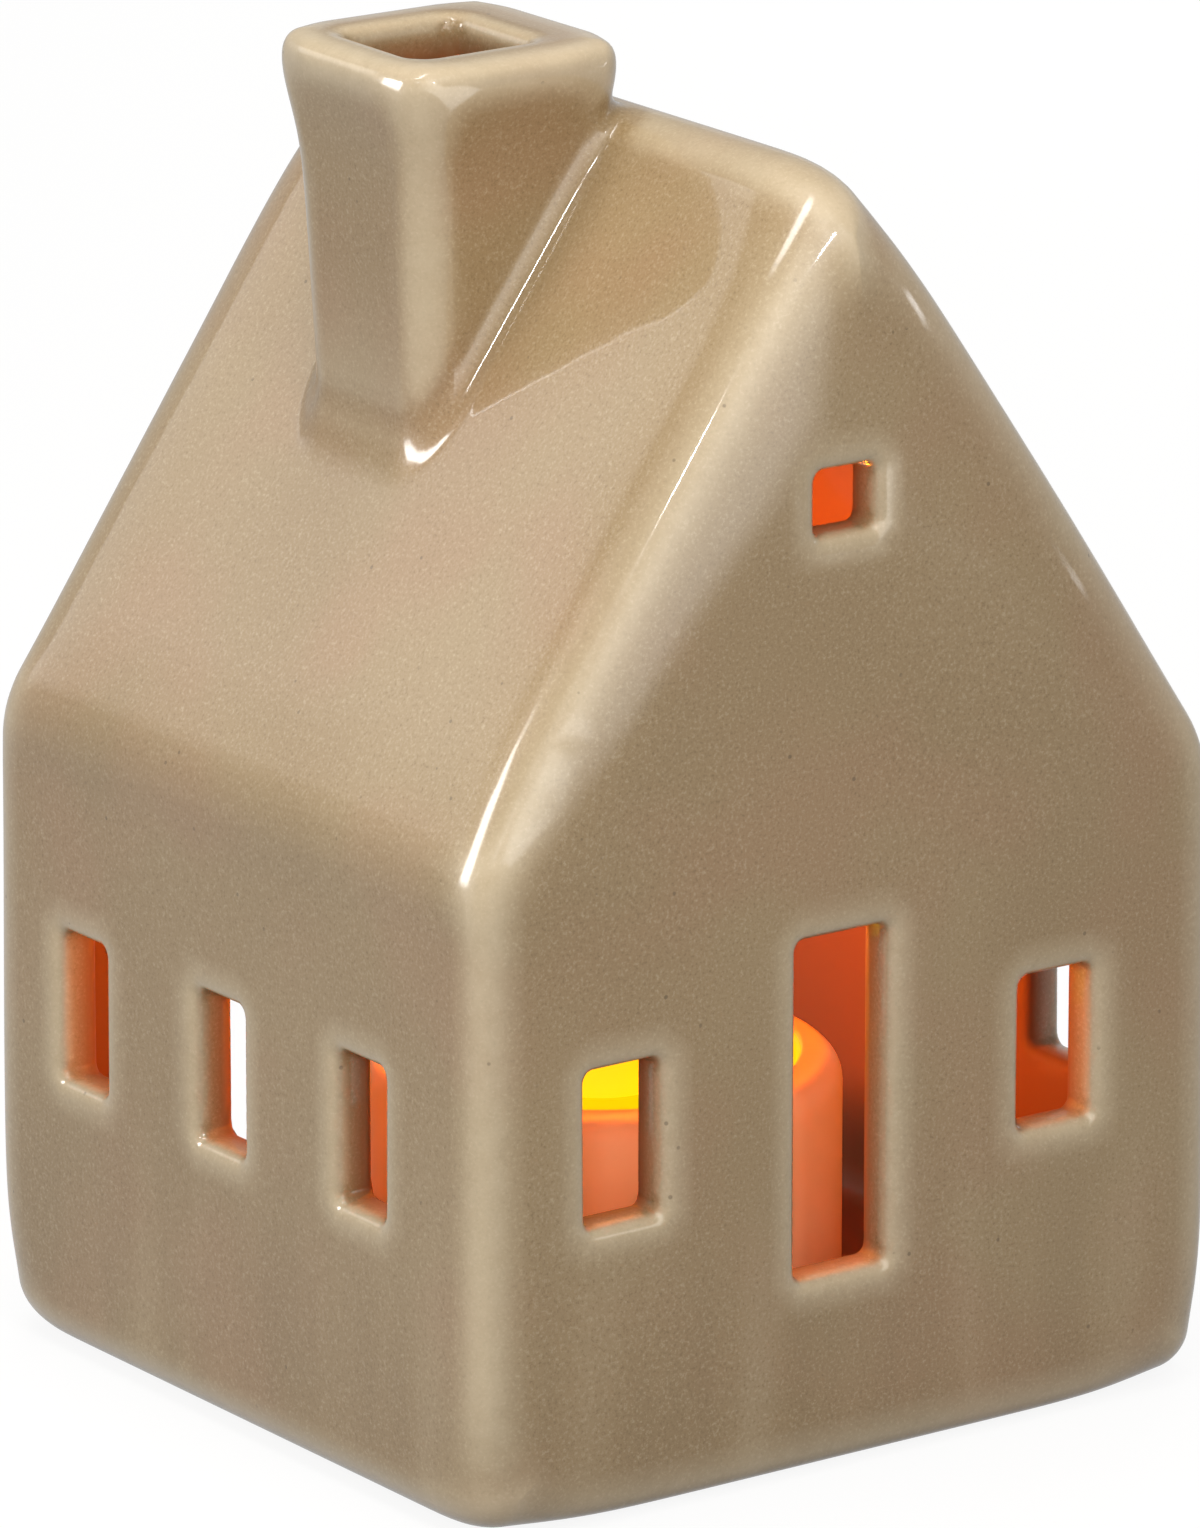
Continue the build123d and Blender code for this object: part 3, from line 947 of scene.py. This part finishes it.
@dataclass
class Tealight:
    """Battery tealight on the floor of the house; sizes in millimetres."""

    base: float = 4.4
    radius: float = 19.0
    height: float = 20.6
    wall: float = 1.6
    rim: float = 1.5
    shoulder: float = 2.6
    dish_radius: float = 15.4
    dish_depth: float = 2.6
    dish_edge: float = 0.9
    dish_fillet: float = 1.6
    hole: float = 4.85
    flame_radius: float = 4.6
    flame_height: float = 15.0
    flame_wall: float = 0.9
    flame_segments: int = 96
    lamp_gap: float = 3.5
    lamp_radius: float = 3.0
    lamp_angle: float = 120.0
    lamp_blend: float = 0.6
    lamp_colour: str = "#ff8418"
    flange_radius: float = 6.1
    flange_thickness: float = 1.2
    segments: int = 128

    def build_body(self) -> bpy.types.Object:
        """Turn the candle body: round shoulder, dish with a rolled edge, hole for the flame and the hollow below.

        Returns:
            The body piece.
        """
        top, edge, fillet = self.height, self.dish_edge, self.dish_fillet
        seat = top - self.dish_depth
        outline = np.concatenate([
            [[self.radius - 0.25, 0.0]],
            arc((self.radius - 0.5, 0.5), 0.5, -60.0, 0.0, 5),
            arc((self.radius - self.shoulder, top - self.shoulder), self.shoulder, 0.0, 90.0, 14),
            arc((self.dish_radius + edge, top - edge), edge, 90.0, 180.0, 8),
            arc((self.dish_radius - fillet, seat + fillet), fillet, 0.0, -90.0, 10),
            arc((self.hole + 0.5, seat - 0.5), 0.5, 90.0, 180.0, 6),
            [[self.hole, seat - self.wall]],
            [[self.radius - self.rim - 2.0, seat - self.wall]],
            arc((self.radius - self.rim - 2.0, seat - self.wall - 1.5), 1.5, 80.0, 0.0, 6),
            [[self.radius - self.rim - 0.5, 0.0]],
        ])
        outline[:, 1] += self.base
        return turned_surface(outline, self.segments).make("candle_shell")

    def build_flame(self) -> bpy.types.Object:
        """Turn the flame: flange, neck, a belly a third of the way up and a long tip with three slow flutes.

        Returns:
            The flame piece.
        """
        seat = self.height - self.dish_depth - self.wall
        share = np.linspace(0.0, 1.0, 40)
        belly = np.interp(share, [0.0, 0.15, 0.3, 0.5, 0.7, 0.88, 1.0], [1.0, 1.0, 0.98, 0.82, 0.5, 0.2, 0.0])
        smooth = np.convolve(np.pad(belly, 3, mode="edge"), np.ones(7) / 7, mode="valid")
        smooth[-1] = 0.0
        skin = np.stack([self.flame_radius * smooth, seat + self.flame_height * share], axis=1)
        wall = self.flame_wall
        inner = np.stack([np.maximum(skin[::-1, 0] - wall, 0.0), skin[::-1, 1] - wall], axis=1)[2:]
        inner = inner[inner[:, 1] > seat - self.flange_thickness]
        outline = np.concatenate([
            [[self.flange_radius, seat - self.flange_thickness], [self.flange_radius, seat - 0.05]],
            skin,
            inner,
            [[self.flame_radius - wall, seat - self.flange_thickness]],
        ])
        outline[:, 1] += self.base
        top = self.base + seat + self.flame_height

        def flutes(angle: Array, height: Array) -> Array:
            """Three slow flutes that turn with height and fade at the foot.

            Args:
                angle: Angle about the axis.
                height: Height above the floor.

            Returns:
                Factor on the radius.
            """
            rise = np.clip((height - self.base - seat) / self.flame_height, 0.0, 1.0)
            return 1.0 - 0.05 * np.sin(np.pi * rise) * (1.0 + np.cos(3.0 * angle + 2.2 * rise))

        surface = turned_surface(outline, self.flame_segments, flutes)
        surface.points[:, 2] = np.minimum(surface.points[:, 2], top)
        return surface.make("flame_shell")

    def dress(self, body: bpy.types.Object, flame: bpy.types.Object) -> None:
        """Give the tealight's pieces and nodes their materials.

        Args:
            body: The candle body piece.
            flame: The flame piece.
        """
        # Moulded ivory plastic; painted light from the flame glows on it, yellow in the dish and orange in the wall
        shell = GlowFinish("Ivory plastic, moulded, painted flame glow", "#ffdfb4", "#b8501c", "#e2720c", 6.0, 25.0, 0.34)
        body.data.materials.append(shell.material())
        # The dish's yellow is painted light: a dark base under a yellow glow stands for the flame shining into it
        dish = GlowFinish("Ivory plastic dish, painted flame light", "#4a2c00", "#ffd400", "#ffd800", 20.0, 26.0, 0.85)
        body.data.materials.append(dish.material())
        reach = np.empty(len(body.data.polygons) * 3)
        body.data.polygons.foreach_get("center", reach)
        centre = reach.reshape(-1, 3) / MILLIMETRE
        away = np.hypot(centre[:, 0], centre[:, 1])
        lit = (away < self.dish_radius + 0.4) & (centre[:, 2] > self.base + self.height - self.dish_depth - 0.2)
        body.data.polygons.foreach_set("material_index", lit.astype(np.int32))
        glow = GlowFinish("Clear amber plastic, moulded flame", "#f0b060", "#ffdc00", "#ffb400", 21.0, 36.0, 0.9)
        flame.data.materials.append(glow.material())
        top = self.base + self.height - self.dish_depth - self.wall + self.flame_height
        for name, kind, watts in (("diode_beam", "SPOT", 0.035), ("diode_glow", "POINT", 0.095)):
            lamp = bpy.data.lights.new(name, kind)
            lamp.color = linear(self.lamp_colour)[:3]
            lamp.energy, lamp.shadow_soft_size = watts, self.lamp_radius * MILLIMETRE
            if kind == "SPOT":
                lamp.spot_size, lamp.spot_blend = radians(self.lamp_angle), self.lamp_blend
            ray = bpy.data.objects.new(name, lamp)
            ray.location = Vector((0.0, 0.0, top + self.lamp_gap)) * MILLIMETRE
            ray.rotation_euler = (np.pi, 0.0, 0.0)
            bpy.context.scene.collection.objects.link(ray)
            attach(ray, "tealight")
        for piece, node, slot in ((body, "candle_body", "candle_shell"), (flame, "flame_tip", "flame_plastic")):
            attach(piece, "tealight")
            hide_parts(node)
        finishes = {
            # Clear and smooth, a sharp highlight over an amber depth
            "led": PlainFinish("Amber epoxy, cast lens", "#f0a838", "#f7c35c", 1.5, 0.12, clear=0.5),
            # Bright grey metal, softly streaked
            "led_leads": PlainFinish("Tinned copper wire, drawn", "#c9c7c0", "#a9a69c", 0.4, 0.3, 1.0),
            # Semi-gloss green, uneven from the glass weave below
            "circuit_board": PlainFinish("Green glass-epoxy laminate, solder masked", "#1f5a34", "#2c7445", 0.9, 0.35),
            # Dull black with a fine grain
            "control_chip": PlainFinish("Black epoxy, transfer moulded", "#1c1c1e", "#2b2b2e", 0.25, 0.55),
            # Cool grey metal with tight highlights
            "board_screws": PlainFinish("Zinc-plated steel, rolled screw", "#b9bcc0", "#8f9296", 0.3, 0.28, 1.0),
            # Off-white, evenly matt
            "base_cap": PlainFinish("White plastic, moulded with fine spark texture", "#e9e3d6", "#d9d1c1", 0.35, 0.5),
            # Smooth and nearly mirror-like
            "coin_cell": PlainFinish("Nickel-plated steel, deep drawn", "#c4c6c8", "#a6a8aa", 0.5, 0.22, 1.0),
            # Off-white, a little smoother than the base
            "battery_lid": PlainFinish("White plastic, moulded lid", "#e4ddcf", "#d2cab9", 0.4, 0.45),
            # Warm grey metal, satin from the strip it is stamped of
            "negative_contact": PlainFinish("Nickel-plated spring steel, stamped", "#b7b4aa", "#8e8b80", 0.3, 0.3, 1.0),
            "positive_contact": PlainFinish("Nickel-plated steel clip, stamped", "#bab7ae", "#918e84", 0.3, 0.3, 1.0),
            # Duller grey metal, satin
            "switch_body": PlainFinish("Tin-plated steel frame, folded", "#aeb0b2", "#85878a", 0.3, 0.35, 1.0),
            # Dark and semi-matt, with broad soft highlights
            "switch_lever": PlainFinish("Black nylon, moulded lever", "#202022", "#303034", 0.3, 0.5),
            "switch_slider": PlainFinish("Grey plastic, moulded slider", "#4c4c4e", "#5f5f62", 0.3, 0.48),
        }
        for node, finish in finishes.items():
            piece = bpy.data.objects.get(node)
            if piece is None:
                log.warning("%s: node not found", node)
                continue
            piece.data.materials.clear()
            piece.data.materials.append(finish.material())
            log.info("%s: %s", node, finish.name)


# ---------------------------------------------------------------- studio


@dataclass(frozen=True)
class Panel:
    """Softbox: place, aim, sides in millimetres, level and colour."""

    name: str
    place: tuple[float, float, float]
    aim: tuple[float, float, float]
    sides: tuple[float, float]
    watts: float
    colour: str = "#ffffff"
    glossy: bool = True

    def build(self) -> bpy.types.Object:
        """Create the lamp.

        Returns:
            The lamp object.
        """
        lamp = bpy.data.lights.new(self.name, "AREA")
        lamp.shape = "RECTANGLE"
        lamp.size, lamp.size_y = (side * MILLIMETRE for side in self.sides)
        lamp.energy = self.watts
        lamp.color = linear(self.colour)[:3]
        piece = bpy.data.objects.new(self.name, lamp)
        piece.location = Vector(self.place) * MILLIMETRE
        piece.rotation_euler = (Vector(self.aim) - Vector(self.place)).to_track_quat("-Z", "Y").to_euler()
        piece.visible_camera = False
        piece.visible_glossy = self.glossy
        bpy.context.scene.collection.objects.link(piece)
        return piece


@dataclass(frozen=True)
class Cloth:
    """Softbox cloth hung where the glaze throws it back to the camera at one place of the picture.

    The place is a strip of the picture frame, given by rows of two ends and a level.  Each point of the strip is
    followed along its line of sight to the house, or to a plane of it, and from there along the mirrored line by the
    reach; the level fades towards both sides and both ends.
    """

    name: str
    rows: tuple[tuple[float, float, float, float, float], ...]
    reach: float
    strength: float
    colour: str = "#ffffff"
    feather: tuple[float, float] = (0.3, 0.3)
    steps: tuple[int, int] = (40, 24)
    plane: tuple[tuple[float, float, float], tuple[float, float, float]] | None = None
    nearest: float = 820.0
    farthest: float = 1100.0
    rounds: int = 70

    def build(self, eye: Array, sights: Callable[[Array], Array], house: StonewareHouse) -> bpy.types.Object:
        """Create the cloth.

        Args:
            eye: Place of the camera in millimetres.
            sights: Lines of sight of picture points.
            house: The house that reflects the cloth.

        Returns:
            The cloth object.
        """
        rows = np.array(self.rows)
        along, across = np.linspace(0.0, len(rows) - 1.0, self.steps[0]), np.linspace(0.0, 1.0, self.steps[1])
        spread = np.stack([np.interp(along, np.arange(len(rows)), column) for column in rows.T], axis=1)[:, None, :]
        share = across[None, :, None]
        pixels = (spread[..., 0:2] * (1.0 - share) + spread[..., 2:4] * share).reshape(-1, 2)
        sight = sights(pixels)
        if self.plane:
            point, facing = (np.array(part) for part in self.plane)
            travel = ((point - eye) @ facing) / (sight @ facing)
            place = eye + sight * travel[:, None]
            normal, met = facing * np.ones_like(place), np.ones(len(sight), dtype=bool)
        else:
            travel = np.full(len(sight), self.nearest)
            for _ in range(self.rounds):
                travel = np.minimum(travel + 0.85 * house.distance(eye + sight * travel[:, None]), self.farthest)
            place = eye + sight * travel[:, None]
            normal, met = unit_slope(house.distance, place), travel < self.farthest - 10.0
        mirrored = sight - 2.0 * np.sum(sight * normal, axis=1)[:, None] * normal
        fade = soft_step(0.0, self.feather[0], across) * soft_step(0.0, self.feather[1], 1.0 - across)
        level = (spread[..., 4] * fade[None, :]).ravel() * met
        surface = Surface(place + self.reach * mirrored, grid_faces(*self.steps), None, {"level": level})
        piece = surface.make(self.name)
        mix = Recipe("Softbox cloth, lit from behind")
        level = mix.add("vertex", attribute_name="level")
        cloth = mix.add("blend", level, linear("#000000"), linear(self.colour))
        glow = mix.add("emission", cloth, self.strength)
        piece.data.materials.append(mix.show(mix.add("sum", glow, mix.add("clear"))))
        piece.visible_camera = piece.visible_diffuse = piece.visible_shadow = False
        return piece


@dataclass
class Studio:
    """White floor and surround, softboxes and the camera of the photograph."""

    azimuth: float = -35.68
    elevation: float = 16.13
    distance: float = 954.5
    target: tuple[float, float, float] = (0.0, 0.0, 48.0)
    pivot: float = 52.5
    lens: float = 289.6
    picture: tuple[float, float] = (1200.0, 1528.0)
    sensor: float = 36.0
    surround_level: float = 0.34
    paper_reach: float = 2600.0
    paper_bend: float = 1500.0
    paper_rise: float = 900.0
    paper_white: float = 0.9
    paper_mirrored: float = 0.45
    panels: tuple[Panel, ...] = (
        Panel("top_softbox", (-60.0, 0.0, 560.0), (-10.0, 0.0, 60.0), (320.0, 320.0), 1.9, glossy=False),
        Panel("key_softbox", (-420.0, -500.0, 250.0), (-5.0, -10.0, 45.0), (260.0, 300.0), 1.7, glossy=False),
        Panel("front_softbox", (-40.0, -260.0, 340.0), (-10.0, -10.0, 90.0), (160.0, 160.0), 0.28, glossy=False),
        Panel("left_softbox", (-560.0, 220.0, 120.0), (-35.0, 0.0, 30.0), (300.0, 300.0), 1.0, glossy=False),
        Panel("right_softbox", (440.0, 420.0, 300.0), (10.0, 10.0, 45.0), (300.0, 300.0), 1.1, glossy=False),
        Panel("left_lamp", (-480.0, -220.0, 480.0), (-10.0, -10.0, 60.0), (30.0, 30.0), 0.26),
        Panel("right_lamp", (-120.0, -470.0, 500.0), (-10.0, -10.0, 60.0), (30.0, 30.0), 0.26),
    )
    cloths: tuple[Cloth, ...] = (
        Cloth(
            "gable_cloth",
            (
                (812.0, 205.0, 838.0, 205.0, 0.0), (800.0, 230.0, 842.0, 230.0, 1.0), (766.0, 300.0, 842.0, 300.0, 1.0),
                (704.0, 420.0, 842.0, 420.0, 1.0), (664.0, 500.0, 800.0, 500.0, 1.0), (614.0, 600.0, 725.0, 600.0, 1.0),
                (552.0, 720.0, 650.0, 720.0, 0.9), (511.0, 800.0, 590.0, 800.0, 0.7), (470.0, 880.0, 530.0, 880.0, 0.0),
            ),
            120.0, 2.8, "#fffdf8", (0.25, 0.4),
        ),
        Cloth(
            "eave_strip",
            (
                (457.0, 885.0, 468.0, 891.0, 0.0), (460.0, 875.0, 470.0, 881.0, 1.0), (484.0, 812.0, 492.0, 817.0, 1.0),
                (511.0, 752.0, 515.0, 755.0, 0.8), (530.0, 715.0, 533.0, 717.0, 0.0),
            ),
            330.0, 17.0,
        ),
        Cloth(
            "apex_strip",
            (
                (764.0, 280.0, 769.0, 283.0, 0.0), (780.0, 250.0, 786.0, 254.0, 0.8), (803.0, 205.0, 811.0, 210.0, 1.0),
                (810.0, 192.0, 817.0, 196.0, 0.0),
            ),
            330.0, 15.0,
        ),
        Cloth(
            "verge_glint_high",
            (
                (902.0, 288.0, 908.0, 286.0, 0.0), (907.0, 298.0, 913.0, 296.0, 1.0), (917.0, 315.0, 923.0, 312.0, 1.0),
                (924.0, 331.0, 929.0, 328.0, 0.0),
            ),
            330.0, 6.0,
        ),
        Cloth(
            "verge_glint_low",
            (
                (1062.0, 563.0, 1068.0, 560.0, 0.0), (1070.0, 575.0, 1076.0, 571.0, 1.0),
                (1080.0, 592.0, 1085.0, 588.0, 0.0),
            ),
            330.0, 6.0,
        ),
        Cloth(
            "roof_cloth",
            (
                (-1240.0, 1000.0, 860.0, 1800.0, 0.0), (-1070.0, 620.0, 1030.0, 1420.0, 0.6),
                (-940.0, 320.0, 1160.0, 1120.0, 1.0), (-540.0, -610.0, 1560.0, 190.0, 1.0),
            ),
            420.0, 1.35, "#fffcf8", (0.1, 0.1), plane=((0.0, 0.0, 105.4), (-0.833, 0.0, 0.5532)),
        ),
    )

    def surround(self) -> None:
        """White world: plain white to camera and clear rays, softer as a lamp and in mirrors."""
        world = bpy.data.worlds.new("White studio surround")
        bpy.context.scene.world = world
        world.use_nodes = True
        tree = world.node_tree
        tree.nodes.clear()
        seen = add_node(tree, "larger", add_node(tree, "camera ray"), add_node(tree, "clear ray"))
        lamp = add_node(tree, "background", linear("#f4f1ec"), self.surround_level)
        plain = add_node(tree, "background", linear("#ffffff"), 1.0)
        add_node(tree, "world", add_node(tree, "either", seen, lamp, plain))

    def floor(self) -> bpy.types.Object:
        """Wide paper floor that rises in a slow curve behind the object.

        Returns:
            The floor object.
        """
        along = np.linspace(-self.paper_reach, self.paper_reach, 53)
        rise = self.paper_rise * soft_step(self.paper_bend, self.paper_reach, np.abs(along)) ** 2
        x, y = np.meshgrid(along, along, indexing="ij")
        z = np.maximum(rise[:, None], rise[None, :]) * np.ones_like(x)
        faces = grid_faces(len(along), len(along))
        piece = Surface(np.stack([x, y, z - 0.02], axis=-1).reshape(-1, 3), faces).make("paper_floor")
        mix = Recipe("White seamless paper, matt")
        add, camera = mix.add, mix.add("camera ray")
        grain = add("span", add("noise", mix.place, per_metre(2.0), 3.0), 0.3, 0.7)
        tone = add("blend", grain, linear("#8f8c87"), linear("#86837e"))
        mix.set(Base_Color=add("blend", camera, tone, linear("#fbfaf8")), Roughness=0.9)
        mirrored = add("times", add("glossy ray"), self.paper_mirrored)
        share = add("plus", add("times", camera, self.paper_white), mirrored)
        plain = add("emission", linear("#ffffff"), 1.0)
        both = add("either", share, mix.shader.outputs[0], plain)
        piece.data.materials.append(mix.show(both))
        return piece

    def eye(self) -> Array:
        """Place of the camera.

        Returns:
            Point in millimetres.
        """
        turn, lift = radians(self.azimuth), radians(self.elevation)
        back = np.array([sin(turn) * cos(lift), -cos(turn) * cos(lift), sin(lift)])
        return np.array([0.0, 0.0, self.pivot]) + back * self.distance

    def sights(self, pixels: Array) -> Array:
        """Lines of sight of points in the picture frame.

        Args:
            pixels: Rows of two picture coordinates from the upper left corner.

        Returns:
            Unit vectors away from the camera.
        """
        forward = np.array(self.target) - self.eye()
        forward /= np.linalg.norm(forward)
        right = np.cross(forward, (0.0, 0.0, 1.0))
        right /= np.linalg.norm(right)
        width, height = self.picture
        focus = self.lens / self.sensor * height
        shift = (pixels - np.array([width, height]) / 2.0) / focus
        lines = forward + shift[:, :1] * right - shift[:, 1:] * np.cross(right, forward)
        return lines / np.linalg.norm(lines, axis=1, keepdims=True)

    def camera(self) -> bpy.types.Object:
        """Camera at the photograph's angle.

        Returns:
            The camera object.
        """
        place = Vector(self.eye()) * MILLIMETRE
        eye = bpy.data.cameras.new("photo_camera")
        eye.lens = self.lens
        eye.sensor_width = self.sensor
        eye.clip_start, eye.clip_end = 0.05, 20.0
        piece = bpy.data.objects.new("photo_camera", eye)
        piece.location = place
        piece.rotation_euler = (Vector(self.target) * MILLIMETRE - place).to_track_quat("-Z", "Y").to_euler()
        bpy.context.scene.collection.objects.link(piece)
        bpy.context.scene.camera = piece
        return piece

    def build(self, house: StonewareHouse) -> None:
        """Set up surround, floor, lamps, camera and the plain view transform.

        Args:
            house: The house that the cloths are hung for.
        """
        bpy.context.scene.view_settings.view_transform = "Standard"
        self.surround()
        self.floor()
        for panel in self.panels:
            panel.build()
        self.camera()
        for cloth in self.cloths:
            cloth.build(self.eye(), self.sights, house)


def main() -> None:
    """Build and dress every sub-assembly and set up the studio."""
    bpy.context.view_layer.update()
    house = StonewareHouse()
    house.dress(house.build())
    tealight = Tealight()
    tealight.dress(tealight.build_body(), tealight.build_flame())
    Studio().build(house)


if __name__ == "__main__":
    main()
